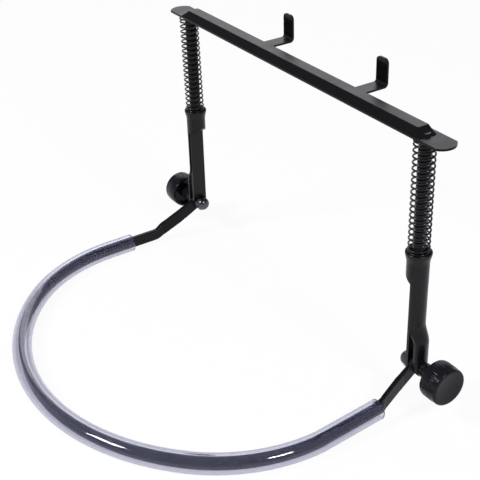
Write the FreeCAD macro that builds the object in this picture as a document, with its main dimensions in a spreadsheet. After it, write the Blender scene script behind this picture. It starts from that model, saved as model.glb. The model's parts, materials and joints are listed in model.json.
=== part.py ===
import FreeCAD
import Part
import math
import os

import Sketcher

# Harmonica holder worn round the neck: a bent steel band in a clear hose, two arms on
# thumb-knob pivots, and a pair of spring-loaded jaws that slide on two rods.
# Everything is modelled about the pivot axis: x across, y away from the player, z up,
# and then lifted so that the origin lies on the ground under the middle of the part.
V = FreeCAD.Vector
doc = FreeCAD.newDocument("harmonica_holder")
sheet = doc.addObject("Spreadsheet::Sheet", "Sizes")

SIZES = [
    # overall places, measured from the pivot axis
    ("arm_spacing", 210.4), ("rail_height", 127.6), ("sleeve_drop", 17.4), ("front_reach", 162.5),
    # neck band
    ("band_spread", 7.1), ("band_width", 7.0), ("band_thick", 2.7), ("kink_run", 3.5),
    ("kink_radius", 8.0), ("set_start", 10.5), ("set_run", 13.0), ("set_radius", 12.0),
    ("eye_radius", 4.6),
    # clear hose on the band
    ("sleeve_wall", 1.45), ("sleeve_clear", 0.3), ("sleeve_lip", 0.5),
    # rods and springs
    ("rod_dia", 6.8), ("rod_gap", 1.1), ("spigot_dia", 4.0), ("spigot_rise", 1.4),
    ("wire_dia", 1.0), ("closed_turns", 2.0), ("closed_pitch", 1.6), ("open_turns", 18.0),
    ("seat_clear", 0.1), ("spring_clear", 0.3),
    # arms
    ("tube_wall", 1.4), ("mouth_wall", 1.0), ("mouth_flare", 0.8), ("mouth_top", 66.2),
    ("mouth_length", 5.8), ("mouth_depth", 4.8), ("rim_round", 0.5), ("tube_length", 14.2),
    ("step_drop", 3.7), ("slot_lip", 1.1), ("slot_gap", 0.8), ("leg_thick", 1.6),
    ("leg_width", 9.0), ("clevis_clear", 0.1), ("ear_play", 0.9), ("joggle_top", 26.0),
    ("joggle_drop", 6.5),
    # jaws
    ("strip_width", 13.2), ("strip_thick", 1.2), ("tab_reach", 12.9), ("tab_bulge", 3.7),
    ("slide_clear", 0.1), ("tray_rise", 3.6), ("sheet_thick", 1.1), ("web_width", 7.0),
    ("foot_margin", 0.5), ("end_slope", 6.6), ("tray_corner", 2.2), ("rail_offset", 0.6),
    ("prong_left", 27.8), ("prong_right", 52.3), ("prong_width", 8.4), ("prong_reach", 12.7),
    ("prong_height", 13.8), ("prong_bend", 2.4),
    # pivot hardware
    ("screw_dia", 4.0), ("fit_clear", 0.05), ("washer_od", 9.0), ("washer_thick", 0.8),
    ("nut_flats", 7.0), ("nut_thick", 2.8), ("dome_shoulder", 0.2), ("dome_neck", 0.3),
    ("nut_depth", 4.4), ("screw_chamfer", 0.35),
    # thumb knob
    ("knob_od", 20.0), ("knob_back", 17.0), ("knob_depth", 11.2), ("knob_wall", 1.8),
    ("hub_dia", 9.0), ("hub_taper", 0.5), ("hub_clear", 0.1), ("recess_depth", 3.2),
    ("dish_depth", 0.6), ("rim_radius", 1.4), ("rib_count", 40.0), ("rib_height", 0.35),
    ("rib_width", 0.8), ("rib_margin", 1.8), ("screw_depth", 6.0),
]

# shapes that are given as shares of the sizes that they follow
side_radius_share = 0.7836
front_bow_share = 0.432
hose_end_share = 0.54
crown_share = 0.36
end_bend_share = 1.0
slant_wall_share = 1.6
flat_wall_share = 0.6
soft_corner_share = 0.29
# the bell of an arm's mouth: how far up from its neck, and how much of its flare is reached
bell_shares = ((0.0, 0.0), (0.17, 0.3), (0.45, 0.8), (0.75, 1.0))

# values worked out from the driving sizes
DERIVED = [
    ("half_spacing", "arm_spacing / 2"),
    # rod, spring, mouth and tube sit one inside the other
    ("spring_od", "rod_dia + 2 * (rod_gap + wire_dia)"),
    ("mouth_bore", "spring_od + 2 * spring_clear"),
    ("mouth_od", "mouth_bore + 2 * mouth_wall"),
    ("tube_od", "mouth_od - 2 * mouth_flare"),
    ("tube_radius", "tube_od / 2"),
    # levels down the arm
    ("mouth_floor", "mouth_top - mouth_depth"),
    ("mouth_neck", "mouth_top - mouth_length"),
    ("step_top", "mouth_top - tube_length"),
    ("step_foot", "step_top - step_drop"),
    ("slot_top", "step_foot - slot_lip"),
    ("rod_foot", "step_top"),
    ("joggle_foot", "joggle_top - joggle_drop"),
    ("wall_inner", "leg_thick + slot_gap"),
    ("band_inner", "leg_thick + clevis_clear"),
    ("ear_inner", "band_inner + band_thick + ear_play"),
    ("joggle_step", "ear_inner - wall_inner"),
    ("ear_crest", "tube_radius + joggle_step"),
    # the band's plan, and the hose that just passes it
    ("band_place", "half_spacing + band_inner + band_thick / 2"),
    ("band_half_width", "half_spacing + band_spread"),
    ("set_end", "set_start + set_run"),
    ("kink_reach", "set_end + kink_run"),
    ("side_radius", "band_half_width * %s" % side_radius_share),
    ("side_reach", "front_reach - side_radius - (band_half_width - side_radius) * %s" % front_bow_share),
    ("sleeve_bore", "sqrt(band_width ^ 2 + band_thick ^ 2) + 2 * sleeve_clear"),
    ("sleeve_od", "sleeve_bore + 2 * sleeve_wall"),
    ("sleeve_end_left", "kink_reach + (side_reach - kink_reach) * %s" % hose_end_share),
    # the rail: the tray's foot covers the rods, and the strip's tabs stand past it
    ("strip_top", "rail_height"),
    ("strip_under", "rail_height - strip_thick"),
    ("strip_corner", "half_spacing + tab_reach"),
    ("web_top", "rail_height + tray_rise"),
    ("foot_half", "half_spacing + rod_dia / 2 + slide_clear + foot_margin"),
    ("web_half", "foot_half - end_slope"),
    ("prong_back", "rail_offset + web_width / 2 + prong_reach + sheet_thick"),
    # hardware
    ("dome_radius", "nut_flats / 2 - dome_shoulder"),
    ("knob_face", "knob_back + knob_depth"),
    ("recess_od", "knob_od - 2 * knob_wall"),
    ("pivot_y", "(front_reach + sleeve_od / 2 - prong_back) / 2"),
    ("pivot_z", "sleeve_drop + sleeve_od / 2"),
]


def fill_sheet():
    row = 1
    for name, value in SIZES:
        sheet.set("A%d" % row, str(value))
        sheet.setAlias("A%d" % row, name)
        row += 1
    for name, formula in DERIVED:
        sheet.set("A%d" % row, "=" + formula)
        sheet.setAlias("A%d" % row, name)
        row += 1
    doc.recompute()


fill_sheet()


def size(name):
    return float(getattr(sheet, name))


def bind(obj, prop, formula):
    # names of the sheet are used bare in the formulas here and get their prefix on the way in
    words = []
    word = ""
    for letter in formula + " ":
        if letter.isalnum() or letter == "_":
            word += letter
            continue
        known = word and not word[0].isdigit() and word not in ("sqrt", "cos", "sin", "tan", "atan")
        words.append("Sizes." + word if known else word)
        words.append(letter)
        word = ""
    obj.setExpression(prop, "".join(words).strip())


def value(formula):
    probe = doc.getObject("Probe") or doc.addObject("App::FeaturePython", "Probe")
    if not hasattr(probe, "Result"):
        probe.addProperty("App::PropertyFloat", "Result")
    bind(probe, "Result", formula)
    probe.recompute()
    return float(probe.Result)


def plane(body, role):
    for feature in body.Origin.OriginFeatures:
        if feature.Role == role:
            return feature
    return None


def sketch_on(body, name, role, offset=None, along="z"):
    sketch = body.newObject("Sketcher::SketchObject", name)
    sketch.AttachmentSupport = [(plane(body, role), "")]
    sketch.MapMode = "FlatFace"
    if offset is not None:
        bind(sketch, "AttachmentOffset.Base." + along, offset)
    doc.recompute()
    return sketch


def pin(sketch, geo, point, x, y):
    # ties one point of a sketch to two formulas, along x and along y
    for kind, formula in (("DistanceX", x), ("DistanceY", y)):
        number = value(formula)
        index = sketch.addConstraint(Sketcher.Constraint(kind, -1, 1, geo, point, number))
        bind(sketch, "Constraints[%d]" % index, formula)


def closed_line(sketch, corners):
    # a closed outline of straight lines; each corner is a pair of formulas
    places = [V(value(x), value(y), 0) for x, y in corners]
    count = len(corners)
    first = sketch.GeometryCount
    for i in range(count):
        sketch.addGeometry(Part.LineSegment(places[i], places[(i + 1) % count]), False)
    for i in range(count):
        here = first + i
        there = first + (i + 1) % count
        sketch.addConstraint(Sketcher.Constraint("Coincident", here, 2, there, 1))
    for i in range(count):
        pin(sketch, first + i, 1, corners[i][0], corners[i][1])
    doc.recompute()


def circle(sketch, x, y, radius):
    geo = sketch.addGeometry(Part.Circle(V(value(x), value(y), 0), V(0, 0, 1), value(radius)), False)
    pin(sketch, geo, 3, x, y)
    index = sketch.addConstraint(Sketcher.Constraint("Radius", geo, value(radius)))
    bind(sketch, "Constraints[%d]" % index, radius)
    doc.recompute()


def lift(obj, side=0):
    # puts a sub-part at the pivots; side is +1 right, -1 left (turned half round), 0 for the middle
    bind(obj, "Placement.Base.y", "pivot_y")
    bind(obj, "Placement.Base.z", "pivot_z")
    if side:
        bind(obj, "Placement.Base.x", "half_spacing" if side > 0 else "0 - half_spacing")
    if side < 0:
        obj.Placement.Rotation = FreeCAD.Rotation(V(0, 0, 1), 180)


def feature(body, kind, name, **props):
    made = body.newObject("PartDesign::" + kind, name)
    for key, item in props.items():
        setattr(made, key, item)
    return made


NODES = []


def node(obj, label):
    obj.Label = label
    NODES.append(obj)


# Lines and arcs, bent in one plane

def bent_path(corners, radii):
    # straight runs joined by tangent arcs: a list of (kind, start, end, centre, radius, turn)
    runs = []
    start = corners[0]
    for before, corner, after, radius in zip(corners, corners[1:], corners[2:], radii):
        incoming = (corner - before).normalize()
        outgoing = (after - corner).normalize()
        turn = incoming.cross(outgoing).z
        angle = math.atan2(turn, incoming.dot(outgoing))
        reach = radius * math.tan(abs(angle) / 2)
        enter = corner - incoming * reach
        leave = corner + outgoing * reach
        side = 1 if angle > 0 else -1
        normal = V(-incoming.y, incoming.x, 0) * side
        if (enter - start).dot(incoming) > radius / 1000:
            runs.append(("line", start, enter, None, 0, 0))
        runs.append(("arc", enter, leave, enter + normal * radius, radius, angle))
        start = leave
    runs.append(("line", start, corners[-1], None, 0, 0))
    return runs


def run_edge(run, offset=0):
    # one run of a bent path as an edge, moved sideways to its left by the offset
    kind, start, end, centre, radius, turn = run
    if kind == "line":
        along = (end - start).normalize()
        left = V(-along.y, along.x, 0) * offset
        return Part.LineSegment(start + left, end + left).toShape()
    grown = radius - offset if turn > 0 else radius + offset
    first = (start - centre).normalize()
    last = (end - centre).normalize()
    middle = (first + last).normalize()
    return Part.Arc(centre + first * grown, centre + middle * grown, centre + last * grown).toShape()


def ribbon(corners, radii, half):
    # a flat face of constant width that follows a bent path
    runs = bent_path(corners, radii)
    left = [run_edge(run, half) for run in runs]
    right = [run_edge(run, -half) for run in runs]
    caps = []
    for at in (0, -1):
        tip = 0 if at == 0 else -1
        caps.append(Part.LineSegment(left[at].Vertexes[tip].Point, right[at].Vertexes[tip].Point).toShape())
    edges = Part.__sortEdges__(left + right + caps)
    return Part.Face(Part.Wire(edges))


def plan_corners():
    # the U seen from above, from the right eye round the front to the left eye:
    # a wide front arc that runs straight into a tighter arc on each side
    place = size("band_place")
    wide = size("band_half_width")
    side = size("side_radius")
    depth = size("front_reach") - size("side_reach") - side
    turn = math.pi / 2 - 2 * math.atan(depth / (wide - side))
    front = side + (wide - side) / math.cos(turn)
    shoulder = -size("side_reach") - side * math.tan(turn / 2)
    vertex = shoulder - wide / math.tan(turn)
    right = [V(place, 2 * size("eye_radius"), 0), V(place, -size("set_start"), 0),
             V(wide, -size("set_end"), 0), V(wide, shoulder, 0)]
    left = [V(-p.x, p.y, 0) for p in reversed(right)]
    radii = [size("set_radius"), size("set_radius"), side]
    return right + [V(0, vertex, 0)] + left, radii + [front] + radii[::-1]


def neck_band():
    # flat steel strip on edge: bent to the U in plan, and kinked upward edgewise to its eyes
    corners, radii = plan_corners()
    tall = size("sleeve_drop") + size("eye_radius") + size("band_width")
    plan = ribbon(corners, radii, size("band_thick") / 2)
    plan.translate(V(0, 0, -tall))
    strip = plan.extrude(V(0, 0, 2 * tall))
    side = [V(0, 0, 0), V(-size("kink_reach"), -size("sleeve_drop"), 0),
            V(-size("front_reach") - size("band_width"), -size("sleeve_drop"), 0)]
    rise = ribbon(side, [size("kink_radius")], size("band_width") / 2)
    eye = Part.Face(Part.Wire(Part.makeCircle(size("eye_radius"))))
    hole = Part.Face(Part.Wire(Part.makeCircle(size("screw_dia") / 2 + size("fit_clear"))))
    outline = rise.fuse(eye).cut(hole).removeSplitter()
    # the outline is drawn in x and y, and stands up as y and z
    outline.Placement = FreeCAD.Placement(V(0, 0, 0), FreeCAD.Rotation(V(1, 1, 1), 120))
    outline.translate(V(-2 * size("band_half_width"), 0, 0))
    slab = outline.extrude(V(4 * size("band_half_width"), 0, 0))
    band = doc.addObject("Part::Feature", "NeckBand")
    band.Shape = strip.common(slab).removeSplitter()
    lift(band)
    node(band, "neck_band")


def neck_sleeve():
    # clear hose pushed over the curved part of the band; on the right it follows the kink
    corners, radii = plan_corners()
    drop = size("sleeve_drop")
    slope = math.atan2(drop, size("kink_reach"))
    radius = size("kink_radius")
    reach = radius * math.tan(slope / 2)
    wide = size("band_half_width")
    path = [V(wide, -size("kink_reach") - reach, 0)] + corners[3:-3]
    path.append(V(-wide, -size("sleeve_end_left"), 0))
    edges = [run_edge(run) for run in bent_path(path, radii[2:-2])]
    start = path[0]
    centre = start + V(0, 0, radius)
    bend = []
    for share in (0, 1, 2):
        angle = slope * share / 2
        bend.append(centre + V(0, math.sin(angle), -math.cos(angle)) * radius)
    along = V(0, math.cos(slope), math.sin(slope))
    tip = bend[2] + along * size("sleeve_lip")
    edges.insert(0, Part.Arc(bend[2], bend[1], bend[0]).toShape())
    edges.insert(0, Part.LineSegment(tip, bend[2]).toShape())
    spine = Part.Wire(edges)
    spine.translate(V(0, 0, -drop))
    start = tip - V(0, 0, drop)
    skins = []
    for bore in ("sleeve_od", "sleeve_bore"):
        ring = Part.Wire(Part.makeCircle(size(bore) / 2, start, along))
        skins.append(spine.makePipeShell([ring], True, False))
    sleeve = doc.addObject("Part::Feature", "NeckSleeve")
    sleeve.Shape = skins[0].cut(skins[1])
    print("hose: volume %.0f, section times length %.0f" % (
        sleeve.Shape.Volume,
        math.pi / 4 * (size("sleeve_od") ** 2 - size("sleeve_bore") ** 2) * spine.Length))
    lift(sleeve)
    node(sleeve, "neck_sleeve")


def cut_through(body, name, sketch):
    # a pocket right through, both ways from its sketch
    before = body.Shape.Volume
    feature(body, "Pocket", name, Profile=sketch, Type="ThroughAll", Midplane=True)
    doc.recompute()
    if body.Shape.Volume >= before:
        raise RuntimeError(name + " took nothing off")


def shell_plan(body, name, shift, level):
    # the piece of the tube's wall that lies beyond the slot, moved outward by the shift
    sketch = sketch_on(body, name, "XY_Plane", level)
    outer, inner = size("tube_radius"), size("tube_radius") - size("tube_wall")
    centre = V(value(shift), 0, 0)
    chord = size("wall_inner")
    arcs = []
    for radius in (outer, inner):
        half = math.acos(chord / radius)
        ring = Part.Circle(centre, V(0, 0, 1), radius)
        arcs.append(sketch.addGeometry(Part.ArcOfCircle(ring, -half, half), False))
    first, second = (sketch.Geometry[arc] for arc in arcs)
    sketch.addGeometry(Part.LineSegment(first.EndPoint, second.EndPoint), False)
    sketch.addGeometry(Part.LineSegment(second.StartPoint, first.StartPoint), False)
    top, foot = arcs[1] + 1, arcs[1] + 2
    joins = ((arcs[0], 2, top, 1), (top, 2, arcs[1], 2), (arcs[1], 1, foot, 1), (foot, 2, arcs[0], 1))
    for a, b, c, d in joins:
        sketch.addConstraint(Sketcher.Constraint("Coincident", a, b, c, d))
    edge = "wall_inner + " + shift
    wide = "sqrt(tube_radius ^ 2 - wall_inner ^ 2)"
    close = "sqrt((tube_radius - tube_wall) ^ 2 - wall_inner ^ 2)"
    pin(sketch, top, 1, edge, wide)
    pin(sketch, top, 2, edge, close)
    pin(sketch, foot, 1, edge, "0 - " + close)
    pin(sketch, foot, 2, edge, "0 - " + wide)
    for arc, formula in zip(arcs, ("tube_radius", "tube_radius - tube_wall")):
        index = sketch.addConstraint(Sketcher.Constraint("Radius", arc, value(formula)))
        bind(sketch, "Constraints[%d]" % index, formula)
    doc.recompute()
    return sketch


# The arm: a thick tube with a belled mouth, pressed and slotted below into a leg and an ear.
# It is drawn about its own axis with the outer side at +x.

def arm(side, label):
    body = doc.addObject("PartDesign::Body", "Arm" + label)
    tube = sketch_on(body, "TubeProfile" + label, "XZ_Plane")
    bell = [("tube_radius + mouth_flare * %s" % wide, "mouth_neck + mouth_length * %s" % high)
            for high, wide in bell_shares]
    closed_line(tube, [("0", "slot_top"), ("tube_radius", "slot_top")] + bell + [
        ("mouth_od / 2", "mouth_top - rim_round"), ("mouth_od / 2 - rim_round", "mouth_top"),
        ("mouth_bore / 2", "mouth_top"), ("mouth_bore / 2", "mouth_floor"),
        ("rod_dia / 2", "mouth_floor"), ("rod_dia / 2", "rod_foot"), ("0", "rod_foot"),
    ])
    feature(body, "Revolution", "Tube" + label, Profile=tube, ReferenceAxis=(tube, ["V_Axis"]), Angle=360)
    doc.recompute()

    # the inner wall is pressed in to the leg along a slope
    step = sketch_on(body, "StepProfile" + label, "XZ_Plane")
    closed_line(step, [
        ("0", "slot_top - tube_radius"), ("0", "step_foot"),
        ("0 - tube_radius", "step_top"), ("0 - 2 * tube_radius", "step_top"),
        ("0 - 2 * tube_radius", "slot_top - tube_radius"),
    ])
    cut_through(body, "Step" + label, step)

    leg = sketch_on(body, "LegProfile" + label, "XY_Plane", "0 - tube_radius")
    closed_line(leg, [
        ("0", "0 - leg_width / 2"), ("leg_thick", "0 - leg_width / 2"),
        ("leg_thick", "leg_width / 2"), ("0", "leg_width / 2"),
    ])
    bind(feature(body, "Pad", "Leg" + label, Profile=leg), "Length", "slot_top + tube_radius")
    doc.recompute()

    # outer wall: the tube's own shell beyond the slot, straight, then joggled out to the ear
    upper = shell_plan(body, "WallPlan" + label, "0", "joggle_top")
    bind(feature(body, "Pad", "Wall" + label, Profile=upper), "Length", "slot_top - joggle_top")
    doc.recompute()
    high = shell_plan(body, "JoggleHigh" + label, "0", "joggle_top")
    low = shell_plan(body, "JoggleLow" + label, "joggle_step", "joggle_foot")
    feature(body, "AdditiveLoft", "Joggle" + label, Profile=high, Sections=[low], Ruled=True)
    doc.recompute()
    ear = shell_plan(body, "EarPlan" + label, "joggle_step", "0 - tube_radius")
    bind(feature(body, "Pad", "Ear" + label, Profile=ear), "Length", "joggle_foot + tube_radius")
    doc.recompute()

    # both ends are trimmed to a narrower tongue, round about the pivot
    trim = sketch_on(body, "TrimProfile" + label, "YZ_Plane")
    far, end = 2 * size("tube_radius"), size("leg_width") / 2
    top, foot, wide = size("joggle_top"), size("joggle_foot"), size("tube_radius")
    places = [V(end, 0, 0), V(end, foot, 0), V(wide, top, 0), V(far, top, 0), V(far, -far, 0),
              V(-far, -far, 0), V(-far, top, 0), V(-wide, top, 0), V(-end, foot, 0), V(-end, 0, 0)]
    formulas = [("leg_width / 2", "0"), ("leg_width / 2", "joggle_foot"), ("tube_radius", "joggle_top"),
                ("tube_od", "joggle_top"), ("tube_od", "0 - tube_od"),
                ("0 - tube_od", "0 - tube_od"), ("0 - tube_od", "joggle_top"),
                ("0 - tube_radius", "joggle_top"), ("0 - leg_width / 2", "joggle_foot"),
                ("0 - leg_width / 2", "0")]
    for i in range(len(places) - 1):
        trim.addGeometry(Part.LineSegment(places[i], places[i + 1]), False)
    ring = Part.Circle(V(0, 0, 0), V(0, 0, 1), end)
    bow = trim.addGeometry(Part.ArcOfCircle(ring, math.pi, 2 * math.pi), False)
    for i in range(len(places) - 2):
        trim.addConstraint(Sketcher.Constraint("Coincident", i, 2, i + 1, 1))
    trim.addConstraint(Sketcher.Constraint("Coincident", bow - 1, 2, bow, 1))
    trim.addConstraint(Sketcher.Constraint("Coincident", bow, 2, 0, 1))
    for i, (along_y, along_z) in enumerate(formulas):
        if i < bow:
            pin(trim, i, 1, along_y, along_z)
    pin(trim, bow - 1, 2, "0 - leg_width / 2", "0")
    trim.addConstraint(Sketcher.Constraint("PointOnObject", bow, 3, -1))
    doc.recompute()
    cut_through(body, "Trim" + label, trim)

    bore = sketch_on(body, "BoreProfile" + label, "YZ_Plane")
    circle(bore, "0", "0", "screw_dia / 2 + fit_clear")
    cut_through(body, "Bore" + label, bore)
    lift(body, side)
    node(body, label + "_arm")


def rod(side, label):
    # straight rod pressed into the arm, with a spigot that is welded into the upper jaw
    body = doc.addObject("PartDesign::Body", "Rod" + label)
    profile = sketch_on(body, "RodProfile" + label, "XZ_Plane")
    closed_line(profile, [
        ("0", "rod_foot"), ("rod_dia / 2", "rod_foot"), ("rod_dia / 2", "strip_top"),
        ("spigot_dia / 2", "strip_top"), ("spigot_dia / 2", "strip_top + spigot_rise"),
        ("0", "strip_top + spigot_rise"),
    ])
    feature(body, "Revolution", "RodTurned" + label, Profile=profile,
            ReferenceAxis=(profile, ["V_Axis"]), Angle=360)
    doc.recompute()
    lift(body, side)
    node(body, label + "_rod")


# Springs: one unbroken wire each, of this many biarcs a turn and sides to its section
biarc_count = 4
wire_side_count = 4

def arc_between(start, heading, end):
    # the arc that leaves start along heading and reaches end
    chord = end - start
    across = chord - heading * chord.dot(heading)
    if across.Length < chord.Length / 1000:
        return Part.LineSegment(start, end)
    across.normalize()
    radius = chord.dot(chord) / (2 * chord.dot(across))
    centre = start + across * radius
    outward = ((start - centre) + (end - centre)).normalize()
    return Part.Arc(start, centre + outward * radius, end)


def biarc(start, heading, end, arrival):
    # two arcs, tangent to each other, from one place and direction to another
    chord = end - start
    total = heading + arrival
    bend = 2 * (1 - heading.dot(arrival))
    lean = chord.dot(total)
    reach = (math.sqrt(lean * lean + bend * chord.dot(chord)) - lean) / bend
    middle = ((start + heading * reach) + (end - arrival * reach)) * 0.5
    back = arc_between(end, arrival * -1, middle)
    first = arc_between(start, heading, middle)
    if isinstance(back, Part.Arc):
        shape = back.toShape()
        mid = shape.valueAt((shape.FirstParameter + shape.LastParameter) / 2)
        back = Part.Arc(middle, mid, end)
    else:
        back = Part.LineSegment(middle, end)
    return [first.toShape(), back.toShape()]


def spring_shape():
    # a foot that stands in the arm's mouth, closed turns, open turns, and a head under the lower jaw
    wire = size("wire_dia")
    coil = (size("spring_od") - wire) / 2
    low = size("mouth_floor") + size("seat_clear")
    high = size("strip_under") - size("seat_clear")
    closed, turns = size("closed_turns"), size("closed_turns") + size("open_turns")
    bend = wire * end_bend_share
    floor = low + wire + bend
    tight = size("closed_pitch")
    pitch = (high - low - 2 * (wire + bend) - closed * tight) / (turns - closed)
    up = V(0, 0, 1)

    def place(turn):
        angle = 2 * math.pi * turn
        climb = tight * min(turn, closed) + pitch * max(turn - closed, 0)
        return V(coil * math.cos(angle), coil * math.sin(angle), floor + climb)

    def heading(turn):
        angle = 2 * math.pi * turn
        climb = tight if turn < closed else pitch if turn > closed else (tight + pitch) / 2
        return V(-coil * math.sin(angle), coil * math.cos(angle), climb / (2 * math.pi)).normalize()

    lead = bend / (2 * math.pi * coil)
    knee = place(-lead)
    foot, foot_top = V(knee.x, knee.y, low), V(knee.x, knee.y, low + wire)
    edges = [Part.LineSegment(foot, foot_top).toShape()]
    edges += biarc(foot_top, up, place(0), heading(0))
    steps = biarc_count * int(round(turns))
    for step in range(steps):
        start, end = step / biarc_count, (step + 1) / biarc_count
        edges += biarc(place(start), heading(start), place(end), heading(end))
    last = steps / biarc_count
    knee = place(last + lead)
    head, head_foot = V(knee.x, knee.y, high), V(knee.x, knee.y, high - wire)
    edges += biarc(place(last), heading(last), head_foot, up)
    edges.append(Part.LineSegment(head_foot, head).toShape())
    spine = Part.Wire(edges)
    # a section with few sides keeps the many turns light
    corners = [foot + V(math.cos(turn), math.sin(turn), 0) * (wire / 2)
               for turn in (2 * math.pi * side / wire_side_count for side in range(wire_side_count + 1))]
    solid = spine.makePipeShell([Part.makePolygon(corners)], True, False)
    section = wire_side_count / 2 * math.sin(2 * math.pi / wire_side_count) * (wire / 2) ** 2
    print("spring: %.0f turns, open pitch %.2f, wire %.2f, least gap to itself %.2f mm" % (
        turns, pitch, wire, least_gap(edges, wire)))
    print("spring: volume %.1f, section times length %.1f" % (solid.Volume, section * spine.Length))
    return solid


def least_gap(edges, wire):
    # the least distance between places on the wire that lie half a turn or more apart along it
    parts = 8
    places = []
    for edge in edges:
        span = edge.LastParameter - edge.FirstParameter
        places += [edge.valueAt(edge.FirstParameter + span * share / parts) for share in range(parts)]
    half = parts * biarc_count
    least = (places[0] - places[-1]).Length
    for i, here in enumerate(places):
        for there in places[i + half:i + 4 * half]:
            least = min(least, (there - here).Length)
    return least - wire


def spring(side, label, shape):
    coil = doc.addObject("Part::Feature", "Spring" + label)
    coil.Shape = shape.copy()
    lift(coil, side)
    node(coil, label + "_spring")


# Jaws

def lower_jaw():
    # flat strip with rounded finger tabs past the rods, and a hole for each rod
    body = doc.addObject("PartDesign::Body", "LowerJaw")
    plan = sketch_on(body, "StripPlan", "XY_Plane", "strip_under")
    y0, y1 = "rail_offset - strip_width / 2", "rail_offset + strip_width / 2"
    half = size("strip_width") / 2
    corner, bulge, middle = size("strip_corner"), size("tab_bulge"), size("rail_offset")
    places = [V(-corner, middle - half, 0), V(corner, middle - half, 0),
              V(corner, middle + half, 0), V(-corner, middle + half, 0)]
    front = plan.addGeometry(Part.LineSegment(places[0], places[1]), False)
    right = plan.addGeometry(Part.Arc(places[1], V(corner + bulge, middle, 0), places[2]), False)
    back = plan.addGeometry(Part.LineSegment(places[2], places[3]), False)
    left = plan.addGeometry(Part.Arc(places[3], V(-corner - bulge, middle, 0), places[0]), False)
    for a, b, c, d in ((front, 2, right, 1), (right, 2, back, 1), (back, 2, left, 1), (left, 2, front, 1)):
        plan.addConstraint(Sketcher.Constraint("Coincident", a, b, c, d))
    pin(plan, front, 1, "0 - strip_corner", y0)
    pin(plan, front, 2, "strip_corner", y0)
    pin(plan, back, 1, "strip_corner", y1)
    pin(plan, back, 2, "0 - strip_corner", y1)
    bow = "((strip_width / 2) ^ 2 + tab_bulge ^ 2) / (2 * tab_bulge)"
    for curve in (right, left):
        index = plan.addConstraint(Sketcher.Constraint("Radius", curve, value(bow)))
        bind(plan, "Constraints[%d]" % index, bow)
    circle(plan, "half_spacing", "0", "rod_dia / 2 + slide_clear")
    circle(plan, "0 - half_spacing", "0", "rod_dia / 2 + slide_clear")
    bind(feature(body, "Pad", "Strip", Profile=plan), "Length", "strip_thick")
    doc.recompute()
    lift(body)
    node(body, "lower_jaw")


def rounded_plan(body, name, level, half_x, half_y, corner):
    # a rectangle with rounded corners about the rail's middle line
    sketch = sketch_on(body, name, "XY_Plane", level)
    hx, hy, r, mid = value(half_x), value(half_y), value(corner), size("rail_offset")
    signs = ((1, -1), (1, 1), (-1, 1), (-1, -1))
    turns = (-90, 0, 90, 180)
    arcs = []
    for (sx, sy), start in zip(signs, turns):
        centre = V(sx * (hx - r), mid + sy * (hy - r), 0)
        ring = Part.Circle(centre, V(0, 0, 1), r)
        arcs.append(sketch.addGeometry(
            Part.ArcOfCircle(ring, math.radians(start), math.radians(start + 90)), False))
    lines = []
    for i in range(4):
        a = sketch.Geometry[arcs[i]].EndPoint
        b = sketch.Geometry[arcs[(i + 1) % 4]].StartPoint
        lines.append(sketch.addGeometry(Part.LineSegment(a, b), False))
    for i in range(4):
        sketch.addConstraint(Sketcher.Constraint("Tangent", arcs[i], 2, lines[i], 1))
        sketch.addConstraint(Sketcher.Constraint("Tangent", lines[i], 2, arcs[(i + 1) % 4], 1))
    for i, (sx, sy) in enumerate(signs):
        x_sign = "" if sx > 0 else "0 - "
        y_sign = "+" if sy > 0 else "-"
        pin(sketch, arcs[i], 3, x_sign + "(%s - %s)" % (half_x, corner),
            "rail_offset %s (%s - %s)" % (y_sign, half_y, corner))
    index = sketch.addConstraint(Sketcher.Constraint("Radius", arcs[0], r))
    bind(sketch, "Constraints[%d]" % index, corner)
    doc.recompute()
    return sketch


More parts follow.
